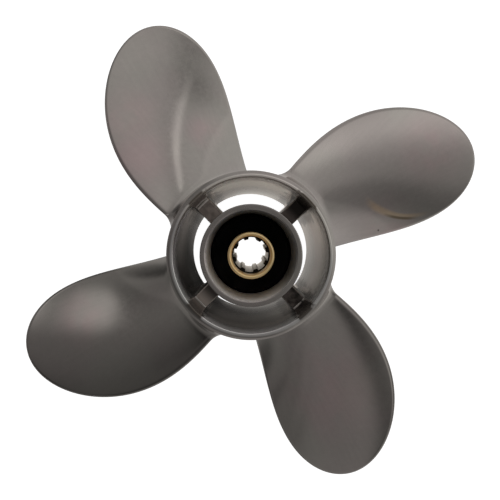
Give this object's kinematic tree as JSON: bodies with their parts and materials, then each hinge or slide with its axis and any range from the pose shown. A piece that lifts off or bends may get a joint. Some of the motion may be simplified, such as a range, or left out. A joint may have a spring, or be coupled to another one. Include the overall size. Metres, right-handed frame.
{
  "type": "outboard motor propeller",
  "caption": "Right-hand outboard propeller with skewed blades on a through-hub exhaust casting, with a rubber bushing and a splined brass sleeve.",
  "frame": {"origin": "on the shaft's axis, at the aft rim of the outer hub, which is the lowest face", "axes": "+Z along the shaft's axis, pointing forward to the gearcase; a web's middle lies 44 degrees from +X towards +Y"},
  "size_m": [0.2156, 0.2156, 0.092],
  "materials": {
    "cast_steel": "satin cast stainless steel, warm grey",
    "bushing_rubber": "matte black moulded rubber",
    "sleeve_brass": "turned brass with a machined face"
  },
  "bodies": {
    "root": {"outer_hub": "cast_steel", "inner_hub": "cast_steel", "web_1": "cast_steel", "web_2": "cast_steel", "web_3": "cast_steel", "web_4": "cast_steel", "blade_1": "cast_steel", "blade_2": "cast_steel", "blade_3": "cast_steel", "blade_4": "cast_steel", "rubber_bushing": "bushing_rubber", "splined_sleeve": "sleeve_brass"}
  },
  "joints": []
}
